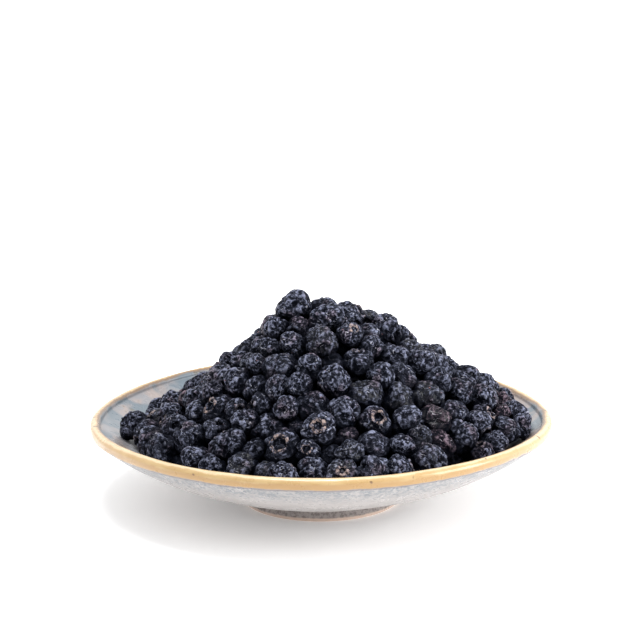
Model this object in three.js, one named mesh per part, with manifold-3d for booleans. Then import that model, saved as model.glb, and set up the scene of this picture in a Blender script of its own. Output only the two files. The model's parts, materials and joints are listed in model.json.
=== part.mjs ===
// A shallow stoneware dish heaped with freeze-dried blueberries.
// Millimetres, +Z up. The origin is the middle of the dish's outline, on the surface it stands on,
// and -Y is the side that faces the viewer.
import * as THREE from "three";
import { mergeVertices } from "three/addons/utils/BufferGeometryUtils.js";
import Module from "manifold-3d";

const wasm = await Module();
wasm.setup();

// Dish
const RIM_RADIUS = 80; // to the outside of the rim, before it is shaped by hand
const RIM_HEIGHT = 30.6;
const LIP_RADIUS = 1.9; // the rim's edge is a half round
const LIP_BLEND = 0.3; // how far inside the half round's sides the wall's curves end
const BELLY_HEIGHT = 3.8; // where the outer wall's curve would reach the middle
const BELLY_RISE = 14.5; // the wall rises by this with the square of the radius,
const BELLY_FLARE = 9.1; // and by this with its fourth power
const WALL_HEIGHT = 4.1; // thickness of the wall, measured upright
const OVAL = 0.004; // shares by which the outline is drawn out along X and in along Y,
const CORNERS = 0.007; // and drawn out at three soft corners, one of them at the front
const OVAL_DIP = 1.1; // the rim is this much lower at the left and right, and higher in between,
const CORNER_DIP = 0.65; // and this much lower at the three corners
const FOOT_RADIUS = 28.2;
const FOOT_TAPER = 0.8;
const FOOT_WIDTH = 3.8;
const FOOT_CHAMFER = 0.5;
const RECESS_HEIGHT = 3; // hollow under the base, inside the foot ring
const OUTSIDE_STEPS = 9;
const INSIDE_STEPS = 9;
const LIP_STEPS = 6;
const DISH_SIDES = 64;

// Heap
const HEAP_SEED = 68;
const BERRY_COUNT = 540;
const BERRY_RADIUS_MIN = 3.6;
const BERRY_RADIUS_MAX = 6;
const HEAP_TOP = 69.5; // height of the heap's smooth outer surface at its middle, without the mounds
const HEAP_SLOPE = 0.81;
const HEAP_ROUNDING = 20; // how blunt the top is
const HEAP_LEAN = 0.06; // the heap runs out flatter towards +X than towards -X
const HEAP_MOUNDS = [
  // x, y, height, width: where the heap stands above or below a plain cone
  [-9, 1, 7.5, 9],
  [28.5, 2, 3.5, 6],
  [-42, 0, -6.5, 14],
  [50, 0, 2, 16],
  [-68, -2, 6, 8],
];
const LIFT_MIN = -1.6; // how far single berries lie under or stand over the heap's surface
const LIFT_MAX = 2;
const FLOOR_GAP = 0.85; // between the berries and the dish
const START_MARGIN = 3.2;
const SETTLE_STEPS = 160;
const PAIRS_EVERY = 8;
const PAIR_REACH = 2.5;

// Berries as low solids, and the core that they stand out of
const BERRY_SIDES = 6;
const BERRY_SWELL = 1.05; // flat faces lie inside the round berry, so its corners lie outside
const BERRY_ROUGHNESS = 0.1;
const BERRY_FLATTEST = 0.84;
const SHOWN_DEPTH = 8.6; // berries whose middle lies deeper under the heap's surface are left to the core
const CORE_DEPTH = 4.4;
const CORE_FLOOR_GAP = 2; // between the core and the dish
const CORE_EDGE = 2; // its least thickness, round its edge
const CORE_RADIUS = 65;
const CORE_SHIFT = 3; // its middle lies this far towards +X, where the heap runs out farther
const CORE_RINGS = 6;
const CORE_SIDES = 24;
const SHAPE_SEED = 7;

// A generator of numbers from 0 to 1: the same seed always gives the same heap
function seededRandom(seed) {
  let state = seed;
  return () => {
    state = (Math.imul(state, 1664525) + 1013904223) >>> 0;
    return state / 4294967296;
  };
}

// Wall curves before the shaping by hand, each a height at a radius from the middle
function outsideHeight(radius) {
  const u = (radius / RIM_RADIUS) * (radius / RIM_RADIUS);
  return BELLY_HEIGHT + BELLY_RISE * u + BELLY_FLARE * u * u;
}

function insideHeight(radius) {
  return outsideHeight(radius) + WALL_HEIGHT;
}

// How far the outline is drawn out in the direction of a point, and how much the rim is lifted there
function handShaping(x, y) {
  const square = Math.max(x * x + y * y, 1e-9);
  const oval = (x * x - y * y) / square;
  const corners = (3 * x * x * y - y * y * y) / (square * Math.sqrt(square));
  return {
    stretch: 1 + OVAL * oval + CORNERS * corners,
    lift: -(OVAL_DIP * oval + CORNER_DIP * corners),
  };
}

// The share of the rim's lift that the wall has at a radius: none at the foot, all at the rim
function liftShare(radius) {
  const share = Math.max(0, (radius - FOOT_RADIUS) / (RIM_RADIUS - FOOT_RADIUS));
  return share * share;
}

function shapeByHand(geometry) {
  const position = geometry.attributes.position;
  for (let i = 0; i < position.count; i++) {
    const x = position.getX(i);
    const y = position.getY(i);
    const { stretch, lift } = handShaping(x, y);
    const raised = position.getZ(i) + lift * liftShare(Math.sqrt(x * x + y * y));
    position.setXYZ(i, x * stretch, y * stretch, raised);
  }
  return geometry;
}

// The dish's inside over a point: its height, and its slope away from the middle
function dishInside(x, y) {
  const { stretch, lift } = handShaping(x, y);
  const radius = Math.sqrt(Math.max(x * x + y * y, 1e-9)) / stretch;
  const u = (radius / RIM_RADIUS) * (radius / RIM_RADIUS);
  return {
    height: insideHeight(radius) + lift * liftShare(radius),
    slope: (2 * radius * (BELLY_RISE + 2 * BELLY_FLARE * u)) / (RIM_RADIUS * RIM_RADIUS),
  };
}

// A closed outline in radius and height, turned about Z
function turned(outline, sides) {
  const points = outline.map(([radius, height]) => new THREE.Vector2(radius, height));
  return new THREE.LatheGeometry(points, sides).rotateX(Math.PI / 2);
}

function wallCurve(height, from, to, steps) {
  return Array.from({ length: steps + 1 }, (_, i) => {
    const radius = from + ((to - from) * i) / steps;
    return [radius, height(radius)];
  });
}

function dishGeometry() {
  const lipMiddle = RIM_RADIUS - LIP_RADIUS;
  const lipHeight = RIM_HEIGHT - LIP_RADIUS;
  const lip = Array.from({ length: LIP_STEPS + 1 }, (_, i) => {
    const turn = (Math.PI * i) / LIP_STEPS;
    return [lipMiddle + LIP_RADIUS * Math.cos(turn), lipHeight + LIP_RADIUS * Math.sin(turn)];
  });
  const footBottom = FOOT_RADIUS - FOOT_TAPER;
  const footInside = FOOT_RADIUS - FOOT_WIDTH;
  const outside = wallCurve(outsideHeight, FOOT_RADIUS, RIM_RADIUS - LIP_BLEND, OUTSIDE_STEPS);
  const inside = wallCurve(insideHeight, lipMiddle - LIP_RADIUS - LIP_BLEND, 0, INSIDE_STEPS);
  const outline = [
    [0, RECESS_HEIGHT],
    [footInside - FOOT_TAPER, RECESS_HEIGHT - FOOT_CHAMFER],
    [footInside, FOOT_CHAMFER],
    [footInside + FOOT_CHAMFER, 0],
    [footBottom - FOOT_CHAMFER, 0],
    [footBottom, FOOT_CHAMFER],
    ...outside,
    ...lip,
    ...inside,
  ];
  return shapeByHand(turned(outline, DISH_SIDES));
}

// The heap's smooth outer surface: its height and slope over a point
function heapSurface(x, y) {
  const reach = Math.sqrt(x * x + y * y + HEAP_ROUNDING * HEAP_ROUNDING);
  const surface = {
    height: HEAP_TOP - HEAP_SLOPE * (reach - HEAP_ROUNDING) + HEAP_LEAN * x,
    slopeX: HEAP_LEAN - (HEAP_SLOPE * x) / reach,
    slopeY: (-HEAP_SLOPE * y) / reach,
  };
  for (const [moundX, moundY, height, width] of HEAP_MOUNDS) {
    const dx = (x - moundX) / width;
    const dy = (y - moundY) / width;
    const fade = 1 / (1 + dx * dx + dy * dy);
    surface.height += height * fade * fade;
    surface.slopeX -= (4 * height * fade * fade * fade * dx) / width;
    surface.slopeY -= (4 * height * fade * fade * fade * dy) / width;
  }
  return surface;
}

// How far a point lies under the heap's surface, and the surface's normal there
function underSurface(x, y, z) {
  const { height, slopeX, slopeY } = heapSurface(x, y);
  const length = Math.sqrt(1 + slopeX * slopeX + slopeY * slopeY);
  return { depth: (height - z) / length, normal: [-slopeX / length, -slopeY / length, 1 / length] };
}

// How far a point lies over the dish's inside, and the wall's normal there
function overDish(x, y, z) {
  const { height, slope } = dishInside(x, y);
  const length = Math.sqrt(1 + slope * slope);
  const inward = -slope / (length * Math.sqrt(Math.max(x * x + y * y, 1e-9)));
  return { distance: (z - height) / length, normal: [x * inward, y * inward, 1 / length] };
}

function drawBerries(random) {
  const berries = [];
  while (berries.length < BERRY_COUNT) {
    const x = (random() * 2 - 1) * RIM_RADIUS;
    const y = (random() * 2 - 1) * RIM_RADIUS;
    const z = random() * HEAP_TOP;
    const inside = overDish(x, y, z).distance > START_MARGIN;
    if (!inside || underSurface(x, y, z).depth < START_MARGIN) continue;
    const radius = BERRY_RADIUS_MIN + (BERRY_RADIUS_MAX - BERRY_RADIUS_MIN) * random();
    const lift = LIFT_MIN + (LIFT_MAX - LIFT_MIN) * random();
    berries.push({ at: [x, y, z], radius, lift });
  }
  return berries;
}

function nearPairs(berries) {
  const pairs = [];
  for (let i = 0; i < berries.length; i++) {
    for (let j = i + 1; j < berries.length; j++) {
      const [a, b] = [berries[i], berries[j]];
      const dx = b.at[0] - a.at[0];
      const dy = b.at[1] - a.at[1];
      const dz = b.at[2] - a.at[2];
      const reach = a.radius + b.radius + PAIR_REACH;
      if (dx * dx + dy * dy + dz * dz < reach * reach) pairs.push([a, b]);
    }
  }
  return pairs;
}

function pushApart(a, b) {
  const dx = b.at[0] - a.at[0];
  const dy = b.at[1] - a.at[1];
  const dz = b.at[2] - a.at[2];
  const square = dx * dx + dy * dy + dz * dz;
  const reach = a.radius + b.radius;
  if (square >= reach * reach || square < 1e-9) return;
  const distance = Math.sqrt(square);
  const share = (0.5 * (reach - distance)) / distance;
  a.at[0] -= dx * share;
  a.at[1] -= dy * share;
  a.at[2] -= dz * share;
  b.at[0] += dx * share;
  b.at[1] += dy * share;
  b.at[2] += dz * share;
}

function keepInside(berry) {
  const { depth, normal } = underSurface(...berry.at);
  const tooHigh = berry.radius - berry.lift - depth;
  if (tooHigh > 0) for (let k = 0; k < 3; k++) berry.at[k] -= normal[k] * tooHigh;
  const dish = overDish(...berry.at);
  const tooLow = berry.radius + FLOOR_GAP - dish.distance;
  if (tooLow > 0) for (let k = 0; k < 3; k++) berry.at[k] += dish.normal[k] * tooLow;
}

// A turn drawn evenly from all turns, as a quaternion
function drawTurn(random) {
  for (;;) {
    const q = [0, 0, 0, 0].map(() => random() * 2 - 1);
    const square = q[0] * q[0] + q[1] * q[1] + q[2] * q[2] + q[3] * q[3];
    if (square > 1 || square < 0.01) continue;
    const length = Math.sqrt(square);
    return q.map((value) => value / length);
  }
}

// The whole heap: where each berry lies, how big it is, how it is turned and how flat it is
function heapOfBerries() {
  const random = seededRandom(HEAP_SEED);
  const berries = drawBerries(random);
  let pairs = [];
  for (let step = 0; step < SETTLE_STEPS; step++) {
    if (step % PAIRS_EVERY === 0) pairs = nearPairs(berries);
    for (const [a, b] of pairs) pushApart(a, b);
    for (const berry of berries) keepInside(berry);
  }
  for (const berry of berries) {
    berry.turn = drawTurn(random);
    berry.flatness = BERRY_FLATTEST + (1 - BERRY_FLATTEST) * random();
  }
  return berries;
}

function solidOf(geometry) {
  geometry.deleteAttribute("normal");
  geometry.deleteAttribute("uv");
  const merged = mergeVertices(geometry, 1e-3);
  return new wasm.Manifold(
    new wasm.Mesh({
      numProp: 3,
      vertProperties: merged.attributes.position.array,
      triVerts: new Uint32Array(merged.index.array),
    }),
  );
}

function geometryOf(solid) {
  const { vertProperties, triVerts } = solid.getMesh();
  const geometry = new THREE.BufferGeometry();
  geometry.setAttribute("position", new THREE.BufferAttribute(vertProperties, 3));
  geometry.setIndex(new THREE.BufferAttribute(triVerts, 1));
  return geometry;
}

// One berry of radius 1. Its flower end, a small sunken crown, is modelled where it can be seen
function berryShape(crownShows, random) {
  const crowned = [
    [0, -0.96],
    [0.84, -0.52],
    [0.97, 0.2],
    [0.38, 0.92],
    [0, 0.66],
  ];
  const plain = [
    [0, -0.92],
    [0.88, -0.42],
    [0.88, 0.42],
    [0, 0.92],
  ];
  const geometry = turned(crownShows ? crowned : plain, BERRY_SIDES);
  geometry.deleteAttribute("normal");
  geometry.deleteAttribute("uv");
  const merged = mergeVertices(geometry, 1e-3);
  const position = merged.attributes.position;
  for (let i = 0; i < position.count; i++) {
    const dent = 1 - BERRY_ROUGHNESS * random();
    position.setXYZ(i, position.getX(i) * dent, position.getY(i) * dent, position.getZ(i) * dent);
  }
  return merged;
}

function berrySolid({ at, radius, turn, flatness }, random) {
  const rotation = new THREE.Quaternion(...turn);
  const crown = new THREE.Vector3(0, 0, 1).applyQuaternion(rotation);
  const outward = new THREE.Vector3(...underSurface(...at).normal);
  const size = radius * BERRY_SWELL;
  const placing = new THREE.Matrix4().compose(
    new THREE.Vector3(...at),
    rotation,
    new THREE.Vector3(size, size, size * flatness),
  );
  return solidOf(berryShape(crown.dot(outward) > 0, random).applyMatrix4(placing));
}

// The unseen middle of the heap: it follows the heap's surface some way under it, and the dish's
// inside some way over it
function coreSolid() {
  const rings = Array.from({ length: CORE_RINGS + 1 }, (_, i) => (CORE_RADIUS * i) / CORE_RINGS);
  const under = rings.map((radius) => [radius, 0]);
  const over = rings.toReversed().map((radius) => [radius, 1]);
  const geometry = turned([...under, ...over], CORE_SIDES).translate(CORE_SHIFT, 0, 0);
  const position = geometry.attributes.position;
  for (let i = 0; i < position.count; i++) {
    const x = position.getX(i);
    const y = position.getY(i);
    const { height, slopeX, slopeY } = heapSurface(x, y);
    const deeper = CORE_DEPTH * Math.sqrt(1 + slopeX * slopeX + slopeY * slopeY);
    const floor = dishInside(x, y).height + CORE_FLOOR_GAP;
    position.setZ(i, position.getZ(i) < 0.5 ? floor : Math.max(height - deeper, floor + CORE_EDGE));
  }
  return solidOf(geometry);
}

function joined(solids) {
  while (solids.length > 1) {
    const pairs = [];
    for (let i = 0; i < solids.length; i += 2) {
      pairs.push(i + 1 < solids.length ? solids[i].add(solids[i + 1]) : solids[i]);
    }
    solids = pairs;
  }
  return solids[0];
}

function largest(solid) {
  return solid.decompose().reduce((a, b) => (a.volume() > b.volume() ? a : b));
}

function heapGeometry() {
  const random = seededRandom(SHAPE_SEED);
  const shown = heapOfBerries().filter(({ at }) => underSurface(...at).depth < SHOWN_DEPTH);
  const berries = shown.map((berry) => berrySolid(berry, random));
  return geometryOf(largest(joined([coreSolid(), ...berries])));
}

function part(name, geometry, color, roughness) {
  const material = new THREE.MeshStandardMaterial({ color, roughness, metalness: 0 });
  const mesh = new THREE.Mesh(geometry, material);
  mesh.name = name;
  return mesh;
}

const bowl = new THREE.Group();
bowl.add(part("dish", dishGeometry(), 0xc9c8c8, 0.3));
bowl.add(part("berries", heapGeometry(), 0x1b1d27, 0.55));

export default bowl;
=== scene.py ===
"""A footed stoneware dish heaped with freeze-dried blueberries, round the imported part's frame."""

import json
import math

import bpy
import numpy as np
from bpy.props import FloatProperty, FloatVectorProperty, IntProperty, PointerProperty
from mathutils import Matrix, Quaternion, Vector

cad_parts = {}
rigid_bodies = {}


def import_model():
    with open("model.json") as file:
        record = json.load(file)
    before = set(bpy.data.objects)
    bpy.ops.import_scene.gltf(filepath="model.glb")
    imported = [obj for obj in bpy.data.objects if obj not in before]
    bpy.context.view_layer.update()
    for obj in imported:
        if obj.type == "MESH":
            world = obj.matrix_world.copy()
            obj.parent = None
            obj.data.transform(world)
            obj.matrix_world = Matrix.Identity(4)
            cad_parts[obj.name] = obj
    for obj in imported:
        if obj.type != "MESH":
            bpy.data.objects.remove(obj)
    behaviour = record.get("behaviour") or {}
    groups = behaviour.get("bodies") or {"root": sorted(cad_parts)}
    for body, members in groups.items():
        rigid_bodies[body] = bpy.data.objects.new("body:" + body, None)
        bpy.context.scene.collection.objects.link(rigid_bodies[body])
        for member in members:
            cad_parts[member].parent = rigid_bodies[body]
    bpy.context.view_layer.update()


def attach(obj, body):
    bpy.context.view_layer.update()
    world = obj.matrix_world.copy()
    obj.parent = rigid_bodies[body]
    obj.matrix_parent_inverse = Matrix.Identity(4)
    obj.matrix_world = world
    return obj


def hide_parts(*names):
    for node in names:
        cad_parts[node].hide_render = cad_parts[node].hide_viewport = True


bl_info = {
    "name": "Bowl of freeze-dried blueberries",
    "version": (1, 0, 0),
    "blender": (4, 5, 0),
    "location": "View3D > Sidebar > Blueberries",
    "description": "Makes a footed stoneware dish and the dried blueberries heaped in it",
    "category": "Add Mesh",
}

MM = 0.001

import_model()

# The dish's foot and lip, in millimetres, as in the part's source
LIP_BLEND = 0.3
FOOT_TAPER = 0.8
FOOT_CHAMFER = 0.5
RECESS_HEIGHT = 3.0
CREST_HEIGHT_STEPS = 14
WALL_STEPS = 44
DISH_SIDES = 192
POLE_RADIUS = 0.6
PROFILE_STEP = 0.1

# The heap's rule, in millimetres, as in the part's source
HEAP_ROUNDING = 20.0
HEAP_LEAN = 0.06
HEAP_MOUNDS = [
    # x, y, height, width: where the heap stands above or below a plain cone
    (-9.0, 1.0, 7.5, 9.0),
    (28.5, 2.0, 3.5, 6.0),
    (-42.0, 0.0, -6.5, 14.0),
    (50.0, 0.0, 2.0, 16.0),
    (-68.0, -2.0, 6.0, 8.0),
]
LIFT_MIN = -1.6
LIFT_MAX = 2.0
FLOOR_GAP = 0.85
START_MARGIN = 3.2
SETTLE_STEPS = 160
PAIRS_EVERY = 8
PAIR_REACH = 2.5
BERRY_FLATTEST = 0.84

# How finely berries are made, by how deep they lie under the heap's surface in millimetres
OUTER_DEPTH = 8.6
MIDDLE_DEPTH = 15.0
OUTER_TRIANGLES = 3700
MIDDLE_TRIANGLES = 620
INNER_TRIANGLES = 100
FORM_COUNT = 14
FORM_SPACING = 0.05
PAINTED_SHADE_DEPTHS = (1.2, 6.0)  # painted shade: the skin's pale colour and marks darken between these depths under the heap's surface
PAINTED_SHADE_GAP = 4.0  # and painted shade darkens them where another berry is nearer than this
FULL_SHARE = 1.14  # a dried fold rises little past the fresh berry's roundness
RIDGE_SHARE = 0.7  # and past that, by this share of its height
TAUT_FORMS = (3, 9)  # these berries dried with a smoother skin
CROWN_OUT_EVERY = 11  # one berry in so many turns its crown out of the heap
CROWN_LEAN = 1.8  # how far that crown leans outwards from the heap's surface
SECTORS = ("right", "back_right", "back_left", "left", "front_left", "front_right")


def decimal(value):
    """A property is stored at single precision; this gives back the number that was typed."""
    return round(value, 6)


def millimetres(length):
    return round(length / MM, 4)


class BowlDish(bpy.types.PropertyGroup):
    """Sizes and glaze colours of the dish."""

    rim_radius: FloatProperty(
        name="Rim radius",
        description="From the middle to the outside of the rim",
        default=0.080,
        unit="LENGTH",
    )
    rim_height: FloatProperty(
        name="Rim height",
        description="From the table to the top of the rim",
        default=0.0306,
        unit="LENGTH",
    )
    lip_radius: FloatProperty(
        name="Lip radius",
        description="Half the thickness of the rolled lip",
        default=0.0019,
        unit="LENGTH",
    )
    belly_height: FloatProperty(
        name="Belly height",
        description="Where the outer wall's curve would reach the middle",
        default=0.0038,
        unit="LENGTH",
    )
    belly_rise: FloatProperty(
        name="Belly rise",
        description="How much the wall rises with the square of the radius",
        default=0.0145,
        unit="LENGTH",
    )
    belly_flare: FloatProperty(
        name="Belly flare",
        description="How much the wall rises with the fourth power of the radius",
        default=0.0091,
        unit="LENGTH",
    )
    wall_height: FloatProperty(
        name="Wall thickness",
        description="Thickness of the wall, measured upright",
        default=0.0041,
        unit="LENGTH",
    )
    foot_radius: FloatProperty(
        name="Foot radius",
        description="From the middle to the outside of the foot ring",
        default=0.0282,
        unit="LENGTH",
    )
    foot_width: FloatProperty(
        name="Foot width",
        description="Width of the foot ring",
        default=0.0038,
        unit="LENGTH",
    )
    oval: FloatProperty(
        name="Oval",
        description="Share by which the outline is drawn out to the sides",
        default=0.004,
        precision=4,
    )
    corners: FloatProperty(
        name="Corners",
        description="Share by which the outline is drawn out at three soft corners",
        default=0.007,
        precision=4,
    )
    oval_dip: FloatProperty(
        name="Side dip",
        description="How much lower the rim is at the sides",
        default=0.0011,
        unit="LENGTH",
    )
    corner_dip: FloatProperty(
        name="Corner dip",
        description="How much lower the rim is at its three soft corners",
        default=0.00065,
        unit="LENGTH",
    )
    unevenness: FloatProperty(
        name="Unevenness",
        description="How far the thrown wall strays from a true curve",
        default=0.0004,
        unit="LENGTH",
    )
    glaze: FloatVectorProperty(
        name="Glaze",
        description="Colour of the glaze over most of the dish",
        subtype="COLOR",
        size=4,
        min=0,
        max=1,
        default=(0.48, 0.445, 0.43, 1),
    )
    glaze_blue: FloatVectorProperty(
        name="Blue pooling",
        description="Colour of the glaze where it has run thick",
        subtype="COLOR",
        size=4,
        min=0,
        max=1,
        default=(0.15, 0.175, 0.2, 1),
    )
    rim_cream: FloatVectorProperty(
        name="Rim cream",
        description="Colour of the top of the rim",
        subtype="COLOR",
        size=4,
        min=0,
        max=1,
        default=(0.47, 0.33, 0.155, 1),
    )
    rim_ochre: FloatVectorProperty(
        name="Rim ochre",
        description="Colour of the lower half of the rim",
        subtype="COLOR",
        size=4,
        min=0,
        max=1,
        default=(0.39, 0.235, 0.092, 1),
    )


class BowlBerries(bpy.types.PropertyGroup):
    """How many berries there are, how they heap and how their skin looks."""

    seed: IntProperty(
        name="Seed",
        description="Another seed lays the berries in another way",
        default=68,
        min=1,
    )
    count: IntProperty(
        name="Berries",
        description="How many berries the heap holds",
        default=540,
        min=1,
        max=600,
    )
    smallest: FloatProperty(
        name="Smallest radius",
        description="Radius of the smallest berries",
        default=0.0036,
        unit="LENGTH",
    )
    largest: FloatProperty(
        name="Largest radius",
        description="Radius of the largest berries",
        default=0.006,
        unit="LENGTH",
    )
    heap_top: FloatProperty(
        name="Heap top",
        description="Height of the heap's smooth outer surface at its middle",
        default=0.0695,
        unit="LENGTH",
    )
    heap_slope: FloatProperty(
        name="Heap slope",
        description="How steeply the heap falls away",
        default=0.81,
    )
    dent_depth: FloatProperty(
        name="Dent depth",
        description="Depth of the broad dents that drying leaves",
        default=0.0038,
        unit="LENGTH",
    )
    panel_depth: FloatProperty(
        name="Panel depth",
        description="How far the skin has sunk between its long ridges",
        default=0.0042,
        unit="LENGTH",
    )
    crease_depth: FloatProperty(
        name="Crease depth",
        description="Depth of the skin's small creases",
        default=0.001,
        unit="LENGTH",
    )
    crown_radius: FloatProperty(
        name="Crown radius",
        description="Radius of the small crown at the flower end",
        default=0.0023,
        unit="LENGTH",
    )
    skin: FloatVectorProperty(
        name="Skin",
        description="Colour of the skin in the creases",
        subtype="COLOR",
        size=4,
        min=0,
        max=1,
        default=(0.002, 0.0028, 0.0062, 1),
    )
    # partly the skin's real waxy coat, partly a painted highlight on the folds and lines that catch the
    # light
    bloom_and_highlight: FloatVectorProperty(
        name="Bloom",
        description="Colour of the pale bloom on the folds",
        subtype="COLOR",
        size=4,
        min=0,
        max=1,
        default=(0.185, 0.2, 0.285, 1),
    )
    crown: FloatVectorProperty(
        name="Crown",
        description="Colour of the dry edge of the crown",
        subtype="COLOR",
        size=4,
        min=0,
        max=1,
        default=(0.33, 0.25, 0.225, 1),
    )


class BowlStage(bpy.types.PropertyGroup):
    """Camera, light and floor."""

    distance: FloatProperty(
        name="Camera distance",
        description="From the camera to the middle of the rim",
        default=0.9,
        unit="LENGTH",
    )
    elevation: FloatProperty(
        name="Camera elevation",
        description="How far the camera looks down",
        default=math.radians(15.558),
        subtype="ANGLE",
    )
    tilt: FloatProperty(
        name="Camera tilt",
        description="How far the camera is turned about its line of sight",
        default=math.radians(-0.465),
        subtype="ANGLE",
    )
    lens: FloatProperty(
        name="Lens",
        description="Focal length in millimetres, on a sensor 36 mm wide",
        default=145.75,
    )
    daylight: FloatProperty(
        name="Daylight",
        description="Strength of the soft light from above; it is less at the camera's side",
        default=1.3,
    )
    side_light: FloatProperty(
        name="Side light",
        description="Power of the large soft light at the right, in watts",
        default=10.5,
    )
    top_light: FloatProperty(
        name="Top light",
        description="Power of the small soft light above, in watts",
        default=6.0,
    )


# Shared helpers


def select_only(piece):
    for other in bpy.context.scene.objects:
        other.select_set(False)
    piece.select_set(True)
    bpy.context.view_layer.objects.active = piece


def finish_with(piece, kind, **settings):
    """Adds a modifier and applies it."""
    select_only(piece)
    modifier = piece.modifiers.new(kind.title(), kind)
    for name, value in settings.items():
        setattr(modifier, name, value)
    bpy.ops.object.modifier_apply(modifier=modifier.name)


def noise(name, kind, size, **settings):
    texture = bpy.data.textures.new(name, kind)
    texture.noise_scale = size
    for setting, value in settings.items():
        setattr(texture, setting, value)
    return texture


def vertex_places(mesh):
    places = np.empty(len(mesh.vertices) * 3, np.float32)
    mesh.vertices.foreach_get("co", places)
    return places.reshape(-1, 3).astype(float)


def point_attribute(mesh, name, values):
    attribute = mesh.attributes.get(name) or mesh.attributes.new(name, "FLOAT", "POINT")
    attribute.data.foreach_set("value", np.asarray(values, np.float32))


# Dish


def outside_height(dish, radius):
    u = (radius / dish.rim_radius) ** 2
    return dish.belly_height + dish.belly_rise * u + dish.belly_flare * u * u


def dish_profile(dish):
    """Rings of the dish as (radius, height), from under the middle, over the rim, to the inside."""
    lip = dish.lip_radius
    lip_middle = dish.rim_radius - lip
    foot_top = dish.foot_radius
    foot_bottom = foot_top - FOOT_TAPER * MM
    foot_inside = foot_top - dish.foot_width
    chamfer = FOOT_CHAMFER * MM
    recess = RECESS_HEIGHT * MM
    underside = [
        (POLE_RADIUS * MM, recess),
        (foot_inside * 0.5, recess),
        (foot_inside - FOOT_TAPER * MM, recess - chamfer),
        (foot_inside, chamfer),
        (foot_inside + chamfer, 0.0),
        (foot_bottom - chamfer, 0.0),
        (foot_bottom, chamfer),
    ]
    outer = [
        (radius, outside_height(dish, radius))
        for radius in np.linspace(foot_top, dish.rim_radius - LIP_BLEND * MM, WALL_STEPS)
    ]
    rolled = [
        (lip_middle + lip * math.cos(turn), dish.rim_height - lip + lip * math.sin(turn))
        for turn in np.linspace(0, math.pi, CREST_HEIGHT_STEPS)
    ]
    inner = [
        (radius, outside_height(dish, radius) + dish.wall_height)
        for radius in np.linspace(lip_middle - lip - LIP_BLEND * MM, POLE_RADIUS * MM, WALL_STEPS)
    ]
    return underside + outer + rolled + inner


def along_profile(profile, crest_height, places):
    """How far each vertex lies from the rim's crest, measured along the profile: below 0 outside."""
    points = np.array(profile)
    lengths = np.hypot(*np.diff(points, axis=0).T)
    marks = np.concatenate([[0], np.cumsum(lengths)])
    fine = np.arange(0, marks[-1], PROFILE_STEP * MM)
    radius = np.interp(fine, marks, points[:, 0])
    height = np.interp(fine, marks, points[:, 1])
    crest = fine[np.argmax(height)]
    nearest = [
        np.argmin((radius - math.hypot(x, y)) ** 2 + (height - z) ** 2) for x, y, z in places
    ]
    return fine[nearest] - crest


def hand_shaping(dish, x, y):
    square = np.maximum(x * x + y * y, 1e-15)
    oval = (x * x - y * y) / square
    corners = (3 * x * x * y - y * y * y) / (square * np.sqrt(square))
    return 1 + dish.oval * oval + dish.corners * corners, -(
        dish.oval_dip * oval + dish.corner_dip * corners
    )


def lift_share(dish, radius):
    share = np.maximum(0, (radius - dish.foot_radius) / (dish.rim_radius - dish.foot_radius))
    return share * share


def make_dish(dish):
    profile = dish_profile(dish)
    bpy.ops.mesh.primitive_circle_add(
        vertices=DISH_SIDES, radius=profile[0][0], fill_type="TRIFAN", location=(0, 0, 0)
    )
    piece = bpy.context.active_object
    piece.name = "stoneware_dish"
    bpy.ops.object.mode_set(mode="EDIT")
    bpy.ops.transform.translate(value=(0, 0, profile[0][1]))
    bpy.ops.mesh.select_mode(type="EDGE")
    bpy.ops.mesh.select_all(action="DESELECT")
    bpy.ops.mesh.select_non_manifold(
        extend=False,
        use_wire=False,
        use_multi_face=False,
        use_non_contiguous=False,
        use_verts=False,
    )
    for (radius, height), (wider, higher) in zip(profile, profile[1:]):
        grow = wider / radius
        bpy.ops.mesh.extrude_edges_move(TRANSFORM_OT_translate={"value": (0, 0, higher - height)})
        bpy.ops.transform.resize(value=(grow, grow, 1), center_override=(0, 0, higher))
    bpy.ops.mesh.merge(type="CENTER")
    bpy.ops.mesh.select_all(action="SELECT")
    bpy.ops.mesh.normals_make_consistent(inside=False)
    bpy.ops.object.mode_set(mode="OBJECT")
    mesh = piece.data

    places = vertex_places(mesh)
    radius = np.hypot(places[:, 0], places[:, 1])
    point_attribute(mesh, "from_crest", along_profile(profile, dish.rim_height, places))
    wall = piece.vertex_groups.new(name="wall")
    share = np.clip((radius - dish.foot_radius) / (0.2 * dish.rim_radius), 0, 1)
    for index, weight in enumerate(share):
        wall.add([index], float(weight), "REPLACE")

    stretch, lift = hand_shaping(dish, places[:, 0], places[:, 1])
    places[:, 2] += lift * lift_share(dish, radius)
    places[:, 0] *= stretch
    places[:, 1] *= stretch
    mesh.vertices.foreach_set("co", places.astype(np.float32).ravel())
    mesh.update()
    finish_with(
        piece,
        "DISPLACE",
        texture=noise("thrown wall", "CLOUDS", 0.028, noise_depth=1),
        strength=dish.unevenness,
        mid_level=0.5,
        vertex_group="wall",
    )
    select_only(piece)
    bpy.ops.object.shade_smooth_by_angle(angle=math.radians(40))
    return piece


# The heap's rule


def seeded(seed):
    state = seed
    while True:
        state = (state * 1664525 + 1013904223) & 0xFFFFFFFF
        yield state / 4294967296


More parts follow.
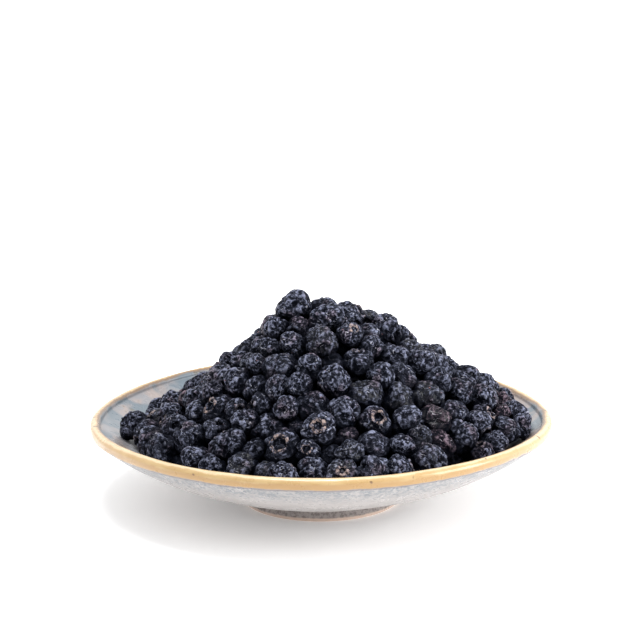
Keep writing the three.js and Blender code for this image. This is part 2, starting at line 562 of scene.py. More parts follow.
class HeapRule:
    """Lays the berries as the part's source does: drawn at random, then pushed apart."""

    def __init__(self, dish, berries):
        self.rim_radius = millimetres(dish.rim_radius)
        self.foot_radius = millimetres(dish.foot_radius)
        self.belly = [
            millimetres(length) for length in (dish.belly_height, dish.belly_rise, dish.belly_flare)
        ]
        self.wall = millimetres(dish.wall_height)
        self.oval, self.corners = decimal(dish.oval), decimal(dish.corners)
        self.dips = (millimetres(dish.oval_dip), millimetres(dish.corner_dip))
        self.count = berries.count
        self.sizes = (millimetres(berries.smallest), millimetres(berries.largest))
        self.top = millimetres(berries.heap_top)
        self.slope = decimal(berries.heap_slope)
        self.random = seeded(berries.seed)

    def surface(self, x, y):
        reach = math.sqrt(x * x + y * y + HEAP_ROUNDING * HEAP_ROUNDING)
        height = self.top - self.slope * (reach - HEAP_ROUNDING) + HEAP_LEAN * x
        slope_x = HEAP_LEAN - (self.slope * x) / reach
        slope_y = (-self.slope * y) / reach
        for mound_x, mound_y, rise, width in HEAP_MOUNDS:
            dx = (x - mound_x) / width
            dy = (y - mound_y) / width
            fade = 1 / (1 + dx * dx + dy * dy)
            height += rise * fade * fade
            slope_x -= (4 * rise * fade * fade * fade * dx) / width
            slope_y -= (4 * rise * fade * fade * fade * dy) / width
        return height, slope_x, slope_y

    def under_surface(self, at):
        """How far a point lies under the heap's surface, and the surface's normal there."""
        height, slope_x, slope_y = self.surface(at[0], at[1])
        length = math.sqrt(1 + slope_x * slope_x + slope_y * slope_y)
        return (height - at[2]) / length, (-slope_x / length, -slope_y / length, 1 / length)

    def over_dish(self, at):
        """How far a point lies over the dish's inside, and the wall's normal there."""
        x, y, z = at
        square = max(x * x + y * y, 1e-9)
        oval = (x * x - y * y) / square
        corners = (3 * x * x * y - y * y * y) / (square * math.sqrt(square))
        lift = -(self.dips[0] * oval + self.dips[1] * corners)
        radius = math.sqrt(square) / (1 + self.oval * oval + self.corners * corners)
        u = (radius / self.rim_radius) * (radius / self.rim_radius)
        share = max(0, (radius - self.foot_radius) / (self.rim_radius - self.foot_radius))
        base, rise, flare = self.belly
        height = base + rise * u + flare * u * u + self.wall + lift * (share * share)
        slope = (2 * radius * (rise + 2 * flare * u)) / (self.rim_radius * self.rim_radius)
        length = math.sqrt(1 + slope * slope)
        inward = -slope / (length * math.sqrt(square))
        return (z - height) / length, (x * inward, y * inward, 1 / length)

    def draw(self):
        berries = []
        random = self.random
        while len(berries) < self.count:
            x = (next(random) * 2 - 1) * self.rim_radius
            y = (next(random) * 2 - 1) * self.rim_radius
            z = next(random) * self.top
            inside = self.over_dish((x, y, z))[0] > START_MARGIN
            if not inside or self.under_surface((x, y, z))[0] < START_MARGIN:
                continue
            radius = self.sizes[0] + (self.sizes[1] - self.sizes[0]) * next(random)
            lift = LIFT_MIN + (LIFT_MAX - LIFT_MIN) * next(random)
            berries.append({"at": [x, y, z], "radius": radius, "lift": lift})
        return berries

    def near_pairs(self, berries):
        pairs = []
        for i, a in enumerate(berries):
            ax, ay, az = a["at"]
            for b in berries[i + 1 :]:
                dx = b["at"][0] - ax
                reach = a["radius"] + b["radius"] + PAIR_REACH
                if dx > reach or dx < -reach:
                    continue
                dy = b["at"][1] - ay
                dz = b["at"][2] - az
                if dx * dx + dy * dy + dz * dz < reach * reach:
                    pairs.append((a, b))
        return pairs

    def push_apart(self, a, b):
        p, q = a["at"], b["at"]
        dx, dy, dz = q[0] - p[0], q[1] - p[1], q[2] - p[2]
        square = dx * dx + dy * dy + dz * dz
        reach = a["radius"] + b["radius"]
        if square >= reach * reach or square < 1e-9:
            return
        distance = math.sqrt(square)
        share = (0.5 * (reach - distance)) / distance
        for k, gap in enumerate((dx, dy, dz)):
            p[k] -= gap * share
            q[k] += gap * share

    def keep_inside(self, berry):
        at = berry["at"]
        depth, normal = self.under_surface(at)
        too_high = berry["radius"] - berry["lift"] - depth
        if too_high > 0:
            for k in range(3):
                at[k] -= normal[k] * too_high
        distance, normal = self.over_dish(at)
        too_low = berry["radius"] + FLOOR_GAP - distance
        if too_low > 0:
            for k in range(3):
                at[k] += normal[k] * too_low

    def draw_turn(self):
        """A turn drawn evenly from all turns."""
        while True:
            x, y, z, w = (next(self.random) * 2 - 1 for _ in range(4))
            square = x * x + y * y + z * z + w * w
            if 0.01 <= square <= 1:
                length = math.sqrt(square)
                return Quaternion((w / length, x / length, y / length, z / length))

    def settle(self):
        berries = self.draw()
        pairs = []
        for step in range(SETTLE_STEPS):
            if step % PAIRS_EVERY == 0:
                pairs = self.near_pairs(berries)
            for a, b in pairs:
                self.push_apart(a, b)
            for berry in berries:
                self.keep_inside(berry)
        for berry in berries:
            berry["turn"] = self.draw_turn()
            berry["flatness"] = BERRY_FLATTEST + (1 - BERRY_FLATTEST) * next(self.random)
            berry["depth"] = self.under_surface(berry["at"])[0]
        return berries


# Berries


def select_faces(mesh, wanted):
    """Selects the faces whose middle passes a test, in edit mode."""
    bpy.ops.object.mode_set(mode="OBJECT")
    for face in mesh.polygons:
        face.select = wanted(face.center)
    for edge in mesh.edges:
        edge.select = False
    for vertex in mesh.vertices:
        vertex.select = False
    bpy.ops.object.mode_set(mode="EDIT")
    bpy.ops.mesh.select_mode(type="FACE")


def polar_angle(place):
    return math.atan2(math.hypot(place[0], place[1]), place[2])


def hold_size(mesh, radius):
    """Brings a folded berry back to its size, and keeps its folds from standing far out."""
    places = vertex_places(mesh)
    reach = np.linalg.norm(places, axis=1)
    size = radius / reach.mean()
    past = np.maximum(0, reach * size - FULL_SHARE * radius)
    places *= (size - (1 - RIDGE_SHARE) * past / reach)[:, None]
    mesh.vertices.foreach_set("co", places.astype(np.float32).ravel())
    mesh.update()


def model_berry(number, berries, random):
    """One dried berry with its crown up, at the size of an average one."""
    radius = 0.5 * (berries.smallest + berries.largest)
    crown = berries.crown_radius * random.uniform(0.8, 1.2)
    taut = number in TAUT_FORMS
    cap = math.asin(crown / radius)
    bpy.ops.mesh.primitive_uv_sphere_add(
        segments=20, ring_count=round(2 * math.pi / cap), radius=radius, location=(0, 0, 0)
    )
    piece = bpy.context.active_object
    piece.name = f"berry_form_{number}"
    mesh = piece.data
    select_faces(mesh, lambda at: polar_angle(at) < cap)
    bpy.ops.mesh.extrude_region_move(TRANSFORM_OT_translate={"value": (0, 0, 0.3 * MM)})
    bpy.ops.transform.resize(value=(1.02, 1.02, 0.3))
    bpy.ops.mesh.inset(thickness=0.08 * crown)
    bpy.ops.mesh.inset(thickness=0.09 * crown)
    depth = random.uniform(0.4, 0.75) * crown
    bpy.ops.mesh.extrude_region_move(TRANSFORM_OT_translate={"value": (0, 0, -depth)})
    bpy.ops.transform.resize(value=(0.82, 0.82, 0.6))
    bpy.ops.mesh.inset(thickness=0.25 * crown, depth=-0.1 * MM)
    select_faces(mesh, lambda at: polar_angle(at) > math.pi - 0.5 * cap)
    bpy.ops.mesh.inset(thickness=0.1 * MM, depth=-0.35 * MM)
    bpy.ops.object.mode_set(mode="OBJECT")

    lobes = 5
    turn = random.uniform(0, 2 * math.pi)
    lip = piece.vertex_groups.new(name="lip")
    for vertex in mesh.vertices:
        x, y, z = vertex.co
        if z > radius * math.cos(cap) + 0.15 * MM and math.hypot(x, y) > 0.8 * crown:
            lip.add([vertex.index], 1.0, "REPLACE")
            swing = math.cos(lobes * math.atan2(y, x) + turn) + random.uniform(-0.4, 0.4)
            vertex.co = (x * (1 + 0.08 * swing), y * (1 + 0.08 * swing), z + 0.27 * MM * swing)
    skin = piece.vertex_groups.new(name="skin")
    for vertex in mesh.vertices:
        near = math.hypot(vertex.co.x, vertex.co.y) / crown if vertex.co.z > 0 else 9
        skin.add([vertex.index], min(1.0, 0.4 + 0.6 * max(0.0, near - 1.0)), "REPLACE")
    finish_with(piece, "SUBSURF", levels=2, render_levels=2)

    bpy.ops.object.empty_add(location=(number * FORM_SPACING, 0, 0))
    folds = bpy.context.active_object
    folds.rotation_euler = [random.uniform(0, 2 * math.pi) for _ in range(3)]
    crease_depth = berries.crease_depth * (0.4 if taut else 1.0)
    broad = noise("broad dents", "CLOUDS", 0.0055, noise_depth=1)
    panels = noise("sunken panels", "VORONOI", 0.0046, weight_1=-1.0, weight_2=1.0)
    creases = noise("creases", "VORONOI", 0.002, weight_1=-1.0, weight_2=1.0, noise_intensity=1.6)
    fine = noise("fine folds", "CLOUDS", 0.0009, noise_depth=1)
    for texture, strength, middle in (
        (broad, berries.dent_depth, 0.5),
        (panels, -berries.panel_depth, 0.3),
        (creases, -crease_depth, 0.35),
        (fine, 0.5 * crease_depth, 0.5),
    ):
        finish_with(
            piece,
            "DISPLACE",
            texture=texture,
            texture_coords="OBJECT",
            texture_coords_object=folds,
            strength=strength,
            mid_level=middle,
            vertex_group="skin",
        )
    bpy.data.objects.remove(folds)
    hold_size(mesh, radius)
    bpy.ops.object.shade_smooth()
    return piece


def thinned(form, triangles):
    """A copy of a berry with about that many triangles, and with its crown and folds marked."""
    copy = form.copy()
    copy.data = form.data.copy()
    bpy.context.scene.collection.objects.link(copy)
    finish_with(copy, "TRIANGULATE")
    finish_with(copy, "DECIMATE", ratio=triangles / len(copy.data.polygons))
    mesh = copy.data
    places = vertex_places(mesh)
    normals = np.array([vertex.normal for vertex in mesh.vertices])
    ends = np.empty(len(mesh.edges) * 2, np.int32)
    mesh.edges.foreach_get("vertices", ends)
    ends = ends.reshape(-1, 2)
    around = np.zeros_like(places)
    count = np.zeros(len(places))
    for a, b in (ends.T, ends.T[::-1]):
        np.add.at(around, a, places[b])
        np.add.at(count, a, 1)
    offset = places - around / count[:, None]
    spacing = np.linalg.norm(places[ends[:, 0]] - places[ends[:, 1]], axis=1).mean()
    # how far each vertex stands out from its neighbours; the skin paints its pale colour and highlight on
    # what stands out, and leaves painted shade in the creases
    fold = np.einsum("ij,ij->i", offset, normals) / spacing
    point_attribute(mesh, "fold", np.clip(0.5 + 1.6 * fold, 0, 1))
    lip = copy.vertex_groups["lip"].index
    weights = [
        max([group.weight for group in vertex.groups if group.group == lip], default=0.0)
        for vertex in mesh.vertices
    ]
    point_attribute(mesh, "crown", weights)
    copy.vertex_groups.clear()
    return copy


def share_out_of_painted_shade(places, berry, laid, rule):
    """How much of a berry's skin lies out of the painted shade: none where it is buried or touches its
    neighbours.
    """
    depth = [rule.under_surface(place)[0] for place in places]
    left = np.interp(depth, PAINTED_SHADE_DEPTHS, (1, 0))
    for other in laid:
        apart = math.dist(berry["at"], other["at"]) - berry["radius"] - other["radius"]
        if other is not berry and apart < PAINTED_SHADE_GAP:
            gap = np.linalg.norm(places - np.array(other["at"]), axis=1) - other["radius"]
            left *= np.clip(0.1 + 0.9 * gap / PAINTED_SHADE_GAP, 0.1, 1)
    return left


def laid_berry(form, berry, average):
    """A copy of a berry form at one place in the heap, with a mesh of its own."""
    copy = form.copy()
    copy.data = form.data.copy()
    size = berry["radius"] * MM / average
    scale = Matrix.Diagonal((size, size, size * berry["flatness"], 1))
    turn = berry["turn"].to_matrix().to_4x4()
    copy.data.transform(Matrix.Translation(Vector(berry["at"]) * MM) @ turn @ scale)
    bpy.context.scene.collection.objects.link(copy)
    return copy


def joined(pieces, name):
    select_only(pieces[0])
    for piece in pieces:
        piece.select_set(True)
    bpy.ops.object.join()
    whole = bpy.context.active_object
    whole.name = name
    whole.data.name = name
    return whole


def sector(berry):
    angle = math.degrees(math.atan2(berry["at"][1], berry["at"][0]))
    return SECTORS[int((angle + 30) // 60) % 6]


def make_berries(dish, berries):
    rule = HeapRule(dish, berries)
    laid = rule.settle()
    random = np.random.RandomState(berries.seed)
    average = 0.5 * (berries.smallest + berries.largest)
    forms = [model_berry(number, berries, random) for number in range(FORM_COUNT)]
    levels = {
        "outer": [thinned(form, OUTER_TRIANGLES) for form in forms],
        "middle": [thinned(form, MIDDLE_TRIANGLES) for form in forms],
        "inner": [thinned(form, INNER_TRIANGLES) for form in forms],
    }
    groups = {}
    for number, berry in enumerate(laid):
        if berry["depth"] < OUTER_DEPTH:
            level, name = "outer", "berries_" + sector(berry)
        elif berry["depth"] < MIDDLE_DEPTH:
            level, name = "middle", "berries_beneath"
        else:
            level, name = "inner", "berries_inside"
        crown_out = number % CROWN_OUT_EVERY == 0
        if crown_out:
            x, y, z = rule.under_surface(berry["at"])[1]
            berry["turn"] = Vector((CROWN_LEAN * x, CROWN_LEAN * y, z)).to_track_quat("Z", "Y")
        form = levels[level][(number * 5) % FORM_COUNT]
        piece = laid_berry(form, berry, average)
        places = vertex_places(piece.data)
        dry = 1.0 if crown_out else random.choice((0.0, 0.0, 0.4))
        point_attribute(piece.data, "dry", np.full(len(places), dry))
        point_attribute(piece.data, "tint", np.full(len(places), random.random_sample()))
        # painted shade of buried and touching berries, kept on each vertex
        point_attribute(piece.data, "open", share_out_of_painted_shade(places / MM, berry, laid, rule))
        groups.setdefault(name, []).append(piece)
    wholes = [joined(pieces, name) for name, pieces in groups.items()]
    for form in forms + [copy for copies in levels.values() for copy in copies]:
        bpy.data.objects.remove(form)
    return wholes


# Materials


class Surface:
    """A node material, and short ways to add nodes to it."""

    def __init__(self, name):
        self.material = bpy.data.materials.new(name)
        self.material.use_nodes = True
        self.tree = self.material.node_tree
        self.shader = self.tree.nodes["Principled BSDF"]
        self.place = self.add("ShaderNodeTexCoord").outputs["Object"]

    def add(self, kind, **settings):
        node = self.tree.nodes.new(kind)
        for name, value in settings.items():
            setattr(node, name, value)
        return node

    def put(self, socket, value):
        if isinstance(value, bpy.types.NodeSocket):
            self.tree.links.new(value, socket)
        else:
            socket.default_value = value

    def attribute(self, name):
        return self.add("ShaderNodeAttribute", attribute_name=name).outputs["Fac"]

    def grain(self, size, detail=3.0, place=None, roughness=0.55, distortion=0.0):
        """Noise from 0 to 1 whose grains are about that many metres wide."""
        node = self.add("ShaderNodeTexNoise")
        self.put(node.inputs["Vector"], self.place if place is None else place)
        self.put(node.inputs["Scale"], 1 / size)
        self.put(node.inputs["Detail"], detail)
        self.put(node.inputs["Roughness"], roughness)
        self.put(node.inputs["Distortion"], distortion)
        return node.outputs["Fac"]

    def spread(self, value, times):
        """A place on a line that moves fast with a value, so that noise there differs for each."""
        node = self.add("ShaderNodeCombineXYZ")
        self.put(node.inputs["X"], self.math("MULTIPLY", value, times))
        return node.outputs["Vector"]

    def crooked(self, size, amount):
        """The object's coordinates pushed about by noise, so that a pattern on them runs crooked."""
        node = self.add("ShaderNodeTexNoise")
        self.put(node.inputs["Vector"], self.place)
        self.put(node.inputs["Scale"], 1 / size)
        self.put(node.inputs["Detail"], 2.0)
        shift = self.add("ShaderNodeVectorMath", operation="MULTIPLY_ADD")
        self.put(shift.inputs[0], node.outputs["Color"])
        self.put(shift.inputs[1], (amount, amount, amount))
        self.put(shift.inputs[2], self.place)
        return shift.outputs["Vector"]

    def strokes(self, spacing, turn):
        """Wandering lines from 0 to 1, side by side, that run another way for each turn."""
        rotate = self.add("ShaderNodeVectorRotate", rotation_type="AXIS_ANGLE")
        self.put(rotate.inputs["Vector"], self.place)
        self.put(rotate.inputs["Axis"], (0.3, 0.5, 0.8))
        self.put(rotate.inputs["Angle"], self.math("MULTIPLY", turn, 60.0))
        node = self.add("ShaderNodeTexWave", wave_type="BANDS", bands_direction="DIAGONAL")
        self.put(node.inputs["Vector"], rotate.outputs["Vector"])
        self.put(node.inputs["Scale"], math.pi / (10 * spacing))
        self.put(node.inputs["Distortion"], 14.0)
        self.put(node.inputs["Detail"], 2.0)
        self.put(node.inputs["Detail Scale"], 1.2)
        return node.outputs["Fac"]

    def edges(self, size, place):
        """Distance from the borders of a net of cells, in shares of a cell that wide."""
        node = self.add("ShaderNodeTexVoronoi", feature="DISTANCE_TO_EDGE")
        self.put(node.inputs["Vector"], place)
        self.put(node.inputs["Scale"], 1 / size)
        return node.outputs["Distance"]

    def between(self, value, low, high, to_low=0.0, to_high=1.0):
        """Smoothly from one number to another as a value goes from low to high."""
        node = self.add("ShaderNodeMapRange", interpolation_type="SMOOTHSTEP")
        for socket, number in zip(node.inputs, (value, low, high, to_low, to_high)):
            self.put(socket, number)
        return node.outputs["Result"]

    def math(self, operation, a, b=0.0):
        node = self.add("ShaderNodeMath", operation=operation)
        self.put(node.inputs[0], a)
        self.put(node.inputs[1], b)
        return node.outputs["Value"]

    def mix(self, share, a, b, blend="MIX"):
        node = self.add("ShaderNodeMix", data_type="RGBA", blend_type=blend)
        self.put(node.inputs["Factor"], share)
        self.put(node.inputs[6], a)
        self.put(node.inputs[7], b)
        return node.outputs[2]

    def bump(self, height, distance, strength=1.0, normal=None):
        node = self.add("ShaderNodeBump")
        self.put(node.inputs["Height"], height)
        self.put(node.inputs["Distance"], distance)
        self.put(node.inputs["Strength"], strength)
        if normal is not None:
            self.put(node.inputs["Normal"], normal)
        return node.outputs["Normal"]


def glaze_material(dish):
    """Reactive stoneware glaze: ochre rim, speckled grey wall, bluish streaks inside, bare foot edge."""
    s = Surface("reactive stoneware glaze")
    wander = s.math("MULTIPLY", s.math("SUBTRACT", s.grain(0.016, 2.0), 0.5), 0.0026)
    ragged = s.math("MULTIPLY", s.math("SUBTRACT", s.grain(0.0024, 3.0), 0.5), 0.0012)
    from_crest = s.math("ADD", s.math("ADD", s.attribute("from_crest"), wander), ragged)

    speckle = s.between(s.grain(0.0012, 2.0, roughness=0.75), 0.42, 0.6)
    mottle = s.grain(0.006, 4.0, roughness=0.65)
    glaze = s.mix(
        s.between(mottle, 0.35, 0.65),
        tuple(dish.glaze),
        tuple(0.84 * part for part in dish.glaze[:3]) + (1,),
    )
    below_rim = s.math(
        "MULTIPLY",
        s.between(from_crest, -0.022, -0.009, 0.1, 1.0),
        s.between(from_crest, -0.006, -0.004, 1.0, 0.0),
    )
    outside = s.mix(
        s.math("MULTIPLY", s.math("ADD", s.math("MULTIPLY", speckle, 0.75), 0.2), below_rim),
        glaze,
        tuple(dish.glaze_blue),
    )

    level = s.add("ShaderNodeVectorMath", operation="MULTIPLY")
    s.put(level.inputs[0], s.place)
    s.put(level.inputs[1], (1.0, 1.0, 0.0))
    outward = s.add("ShaderNodeVectorMath", operation="NORMALIZE")
    s.put(outward.inputs[0], level.outputs["Vector"])
    sideways = s.add("ShaderNodeSeparateXYZ")
    s.put(sideways.inputs["Vector"], outward.outputs["Vector"])
    along = s.add("ShaderNodeCombineXYZ")
    s.put(along.inputs["Z"], s.math("MULTIPLY", s.attribute("from_crest"), 0.2))
    around = s.add("ShaderNodeVectorMath", operation="MULTIPLY_ADD")
    s.put(around.inputs[0], outward.outputs["Vector"])
    s.put(around.inputs[1], (0.012, 0.012, 0.012))
    s.put(around.inputs[2], along.outputs["Vector"])
    down_wall = around.outputs["Vector"]
    pale = s.mix(
        s.between(s.grain(0.0018, 3.0, down_wall, 0.6), 0.4, 0.62),
        (0.27, 0.268, 0.285, 1),
        (0.36, 0.3, 0.28, 1),
    )
    to_back = s.between(sideways.outputs["Y"], -0.5, 0.3, -0.07, 0.09)
    to_left = s.between(sideways.outputs["X"], -0.4, 0.2, 1.0, 0.1)
    pools = s.math("ADD", s.grain(0.017, 2.0, distortion=0.8), s.math("MULTIPLY", to_back, to_left))
    pooled = s.between(pools, 0.45, 0.56)
    running = s.between(s.grain(0.0014, 3.0, down_wall, 0.6, 0.4), 0.35, 0.6, 0.35, 1.0)
    inside = s.mix(s.math("MULTIPLY", pooled, running), pale, (0.14, 0.18, 0.215, 1))
    streak = s.between(s.grain(0.0009, 2.0, down_wall, 0.6), 0.62, 0.72)
    streak = s.math("MULTIPLY", streak, s.between(s.grain(0.024, 1.0), 0.48, 0.58))
    near_rim = s.between(s.attribute("from_crest"), 0.004, 0.018, 0.8, 0.25)
    inside = s.mix(s.math("MULTIPLY", streak, near_rim), inside, (0.12, 0.11, 0.085, 1))

    is_inside = s.between(s.attribute("from_crest"), 0.0004, 0.0012)
    body = s.mix(is_inside, outside, inside)
    rim = s.mix(
        s.between(from_crest, -0.0031, -0.0021), tuple(dish.rim_ochre), tuple(dish.rim_cream)
    )
    rim = s.mix(s.between(s.grain(0.011, 2.0), 0.4, 0.62, 0.0, 0.55), rim, tuple(dish.rim_ochre))
    at_ends = s.between(s.math("ABSOLUTE", sideways.outputs["X"]), 0.6, 0.98)
    rim = s.mix(s.math("MULTIPLY", at_ends, 0.35), rim, (0.6, 0.42, 0.27, 1))
    rim = s.mix(
        s.between(from_crest, 0.0004, 0.0012, 0.0, 0.9), rim, (0.2, 0.12, 0.07, 1)
    )
    # painted highlight: a thin pale line along the lip's crest stands in for the light's reflection there
    crest = s.math(
        "MULTIPLY",
        s.between(from_crest, -0.0013, -0.0007),
        s.between(from_crest, -0.0002, 0.0004, 1.0, 0.0),
    )
    rim = s.mix(s.math("MULTIPLY", crest, 0.45), rim, (0.72, 0.6, 0.42, 1))
    iron = s.between(s.grain(0.0031, 0.0), 0.8, 0.84, 0.0, 0.8)
    rim = s.mix(iron, rim, (0.13, 0.07, 0.04, 1))
    narrowed = s.math("SUBTRACT", from_crest, s.math("MULTIPLY", at_ends, 0.0009))
    on_rim = s.math(
        "MULTIPLY",
        s.between(narrowed, -0.0052, -0.0043),
        s.between(from_crest, 0.0012, 0.0024, 1.0, 0.0),
    )
    # painted shade: a dark line just under the rolled lip, where its overhang shades the wall
    painted_shade_under_lip = s.math(
        "MULTIPLY",
        s.between(narrowed, -0.0067, -0.0056),
        s.between(narrowed, -0.0053, -0.0044, 1.0, 0.0),
    )
    body = s.mix(s.math("MULTIPLY", painted_shade_under_lip, 0.75), body, (0.13, 0.11, 0.12, 1))
    colour = s.mix(on_rim, body, rim)

    height = s.add("ShaderNodeSeparateXYZ")
    s.put(height.inputs["Vector"], s.place)
    up = s.math("ADD", height.outputs["Z"], s.math("MULTIPLY", ragged, 0.4))
    on_foot = s.between(s.attribute("from_crest"), -0.0575, -0.0565, 1.0, 0.0)
    foot = s.mix(speckle, (0.36, 0.32, 0.305, 1), (0.19, 0.165, 0.16, 1))
    colour = s.mix(on_foot, colour, foot)
    bare = s.math("MULTIPLY", on_foot, s.between(up, 0.0009, 0.0015, 1.0, 0.0))
    colour = s.mix(bare, colour, (0.7, 0.54, 0.45, 1))
    s.put(s.shader.inputs["Base Color"], colour)
    s.put(s.shader.inputs["Roughness"], s.between(mottle, 0.3, 0.7, 0.24, 0.36))
    s.put(s.shader.inputs["Coat Weight"], 0.25)
    s.put(s.shader.inputs["Coat Roughness"], 0.15)
    normal = s.bump(s.grain(0.009, 2.0), 0.0005, 0.4)
    normal = s.bump(s.grain(0.0012, 3.0), 0.00006, 0.5, normal)
    s.put(s.shader.inputs["Normal"], normal)
    return s.material


def skin_material(berries):
    """Dried blueberry skin: near black in the creases, partly painted shade; grey-blue bloom on sharp
    crooked folds, partly painted highlight.
    """
    s = Surface("dried blueberry skin")
    tint = s.attribute("tint")
    fold = s.attribute("fold")
    crinkle = s.grain(0.0012, 3.0, roughness=0.6, distortion=0.5)
    patch = s.between(s.grain(0.003, 1.0), 0.42, 0.6)
    lace = s.between(s.edges(0.0019, s.crooked(0.0016, 0.0028)), 0.0, 0.07, 1.0, 0.0)
    strokes = s.between(s.strokes(0.0014, tint), 0.82, 0.975)
    lines = s.math(
        "MAXIMUM",
        s.math("MULTIPLY", lace, s.between(patch, 0.0, 1.0, 0.15, 1.0)),
        s.math("MULTIPLY", strokes, s.between(patch, 0.0, 1.0, 0.85, 0.0)),
    )
    # pale colour on the raised folds and lines, partly the real waxy coat and partly painted highlight; the
    # creases keep the near-black skin, partly as painted shade
    share = s.math("MULTIPLY", lines, s.between(fold, 0.3, 0.6, 0.15, 1.0))
    share = s.math("MAXIMUM", share, s.between(fold, 0.68, 0.92))
    share = s.math("MULTIPLY", share, s.between(crinkle, 0.38, 0.56, 0.1, 1.0))
    haze = s.math("MULTIPLY", s.between(fold, 0.35, 0.65), s.between(crinkle, 0.36, 0.66, 0.02, 0.15))
    # painted shade: the pale colour, glints, spots and crown edges fade where a berry is buried or touches
    # another
    out_of_painted_shade = s.between(s.attribute("open"), 0.0, 0.95, 0.02, 1.0)
    own = s.grain(1.0, 0.0, s.spread(tint, 37.0))
    strength = s.math("MULTIPLY", out_of_painted_shade, s.between(own, 0.3, 0.7, 0.6, 1.1))
    share = s.math("MULTIPLY", s.math("ADD", share, haze), strength)
    purple = s.math("MAXIMUM", s.between(tint, 0.94, 0.965), s.between(s.grain(0.007), 0.52, 0.66, 0.0, 0.7))
    bloom_and_highlight = s.mix(purple, tuple(berries.bloom_and_highlight), (0.19, 0.14, 0.175, 1))
    colour = s.mix(share, tuple(berries.skin), bloom_and_highlight)
    # painted glints: pale specks on the lines stand in for the light's reflection
    glint = s.math("MULTIPLY", s.between(lines, 0.6, 0.9), s.between(crinkle, 0.5, 0.62))
    glint = s.math("MULTIPLY", glint, s.between(s.grain(0.0045, 1.0), 0.46, 0.6))
    colour = s.mix(s.math("MULTIPLY", glint, out_of_painted_shade), colour, (0.5, 0.5, 0.56, 1))
    spots = s.math(
        "MULTIPLY", s.between(s.grain(0.0021, 1.0), 0.76, 0.8), s.between(crinkle, 0.45, 0.6)
    )
    colour = s.mix(s.math("MULTIPLY", spots, out_of_painted_shade), colour, (0.42, 0.2, 0.2, 1))
    dry_edge = s.between(s.attribute("crown"), 0.93, 1.0)
    dry_edge = s.math("MULTIPLY", dry_edge, s.between(crinkle, 0.45, 0.6, 0.05, 1.0))
    dry_edge = s.math("MULTIPLY", dry_edge, s.attribute("dry"))
    colour = s.mix(s.math("MULTIPLY", dry_edge, out_of_painted_shade), colour, tuple(berries.crown))
    s.put(s.shader.inputs["Base Color"], colour)
    s.put(s.shader.inputs["Roughness"], s.between(share, 0.0, 0.6, 0.6, 0.24))
    s.put(s.shader.inputs["Specular IOR Level"], 0.04)
    s.put(s.shader.inputs["Coat Weight"], s.between(own, 0.36, 0.44, 0.16, 0.0))
    s.put(s.shader.inputs["Coat Roughness"], 0.2)
    height = s.math("ADD", s.math("MULTIPLY", lines, 0.9), s.math("MULTIPLY", crinkle, 0.4))
    normal = s.bump(height, 0.0006, 1.0)
    s.put(s.shader.inputs["Normal"], normal)
    return s.material


def floor_material():
    s = Surface("pale floor")
    pale = s.mix(s.grain(0.08, 2.0), (0.93, 0.93, 0.93, 1), (0.96, 0.96, 0.96, 1))
    s.put(s.shader.inputs["Base Color"], pale)
    s.put(s.shader.inputs["Roughness"], 0.9)
    s.put(s.shader.inputs["Specular IOR Level"], 0.1)
    s.put(s.shader.inputs["Emission Color"], (1, 1, 1, 1))
    s.put(s.shader.inputs["Emission Strength"], 0.16)
    return s.material


def wear(piece, material):
    piece.data.materials.clear()
    piece.data.materials.append(material)


# Operators


class BOWL_OT_dish(bpy.types.Operator):
    """Make the stoneware dish"""

    bl_idname = "bowl.make_dish"
    bl_label = "Dish"

    def execute(self, context):
        piece = make_dish(context.scene.bowl_dish)
        wear(piece, glaze_material(context.scene.bowl_dish))
        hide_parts("dish")
        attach(piece, "root")
        return {"FINISHED"}


class BOWL_OT_berries(bpy.types.Operator):
    """Model the dried berries and lay them in a heap"""

    bl_idname = "bowl.heap_berries"
    bl_label = "Berries"

    def execute(self, context):
        material = skin_material(context.scene.bowl_berries)
        for piece in make_berries(context.scene.bowl_dish, context.scene.bowl_berries):
            wear(piece, material)
            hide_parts("berries")
            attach(piece, "root")
        return {"FINISHED"}


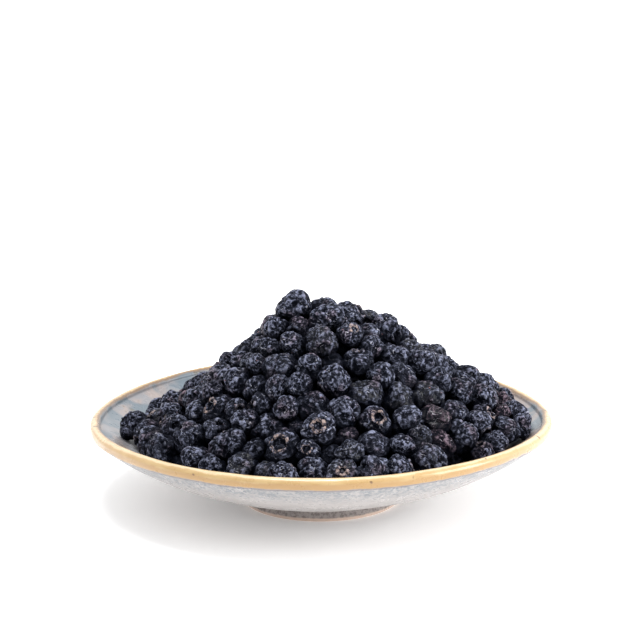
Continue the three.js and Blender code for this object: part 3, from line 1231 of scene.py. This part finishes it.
class BOWL_OT_stage(bpy.types.Operator):
    """Set up the floor, the light and the camera"""

    bl_idname = "bowl.set_stage"
    bl_label = "Stage"

    def execute(self, context):
        stage = context.scene.bowl_stage
        bpy.ops.mesh.primitive_plane_add(size=6, location=(0, 0, 0))
        floor = context.active_object
        floor.name = "floor"
        wear(floor, floor_material())

        world = bpy.data.worlds.new("studio")
        context.scene.world = world
        world.use_nodes = True
        nodes, links = world.node_tree.nodes, world.node_tree.links
        background = nodes["Background"]
        background.inputs["Color"].default_value = (1, 1, 1, 1)
        direction = nodes.new("ShaderNodeTexCoord").outputs["Generated"]
        lean = nodes.new("ShaderNodeVectorMath")
        lean.operation = "DOT_PRODUCT"
        lean.inputs[1].default_value = (0, 0.35, 0.94)
        links.new(direction, lean.inputs[0])
        apart = nodes.new("ShaderNodeSeparateXYZ")
        links.new(direction, apart.inputs["Vector"])
        brightest = nodes.new("ShaderNodeMath")
        brightest.operation = "MAXIMUM"
        for number, (source, low, high, to_low, to_high) in enumerate((
            (lean.outputs["Value"], -0.2, 0.75, 0.35, stage.daylight),
            (apart.outputs["Z"], 0.17, 0.24, 1.05, 0.0),
        )):
            ramp = nodes.new("ShaderNodeMapRange")
            ramp.interpolation_type = "SMOOTHSTEP"
            links.new(source, ramp.inputs["Value"])
            for socket, value in zip(list(ramp.inputs)[1:5], (low, high, to_low, to_high)):
                socket.default_value = value
            links.new(ramp.outputs["Result"], brightest.inputs[number])
        links.new(brightest.outputs["Value"], background.inputs["Strength"])

        for name, power, size, place in (
            ("side_light", stage.side_light, 0.6, (1.0, -0.3, 0.36)),
            ("top_light", stage.top_light, 0.35, (-0.05, -0.1, 0.9)),
        ):
            bpy.ops.object.light_add(type="AREA", location=place)
            light = context.active_object
            light.name = name
            light.data.energy = power
            light.data.size = size
            towards = Vector((0, 0, 0.03)) - Vector(place)
            light.rotation_euler = towards.to_track_quat("-Z", "Y").to_euler()

        middle_height = 0.03
        camera_data = bpy.data.cameras.new("camera")
        camera_data.lens = stage.lens
        camera_data.sensor_width = 36
        camera_data.shift_x = -1.02 / 640
        camera_data.shift_y = 95.34 / 640
        camera_data.clip_end = 20
        camera = bpy.data.objects.new("camera", camera_data)
        context.scene.collection.objects.link(camera)
        down = stage.elevation
        back = Vector((0, -math.cos(down), math.sin(down))) * stage.distance
        turn = Matrix.Rotation(math.pi / 2 - down, 4, "X") @ Matrix.Rotation(stage.tilt, 4, "Z")
        camera.matrix_world = Matrix.Translation(back + Vector((0, 0, middle_height))) @ turn
        context.scene.camera = camera
        context.scene.view_settings.view_transform = "Standard"
        return {"FINISHED"}


class BOWL_PT_panel(bpy.types.Panel):
    """Lists the sizes and colours, and makes the pieces."""

    bl_idname = "BOWL_PT_panel"
    bl_label = "Bowl of blueberries"
    bl_space_type = "VIEW_3D"
    bl_region_type = "UI"
    bl_category = "Blueberries"

    def draw(self, context):
        for group, operator in (
            ("bowl_dish", BOWL_OT_dish),
            ("bowl_berries", BOWL_OT_berries),
            ("bowl_stage", BOWL_OT_stage),
        ):
            box = self.layout.box()
            settings = getattr(context.scene, group)
            for name in type(settings).__annotations__:
                box.prop(settings, name)
            box.operator(operator.bl_idname)


CLASSES = (
    BowlDish,
    BowlBerries,
    BowlStage,
    BOWL_OT_dish,
    BOWL_OT_berries,
    BOWL_OT_stage,
    BOWL_PT_panel,
)


def register():
    for cls in CLASSES:
        bpy.utils.register_class(cls)
    bpy.types.Scene.bowl_dish = PointerProperty(type=BowlDish)
    bpy.types.Scene.bowl_berries = PointerProperty(type=BowlBerries)
    bpy.types.Scene.bowl_stage = PointerProperty(type=BowlStage)


def unregister():
    del bpy.types.Scene.bowl_stage
    del bpy.types.Scene.bowl_berries
    del bpy.types.Scene.bowl_dish
    for cls in reversed(CLASSES):
        bpy.utils.unregister_class(cls)


def main():
    register()
    bpy.ops.bowl.make_dish()
    bpy.ops.bowl.heap_berries()
    bpy.ops.bowl.set_stage()


if __name__ == "__main__":
    main()
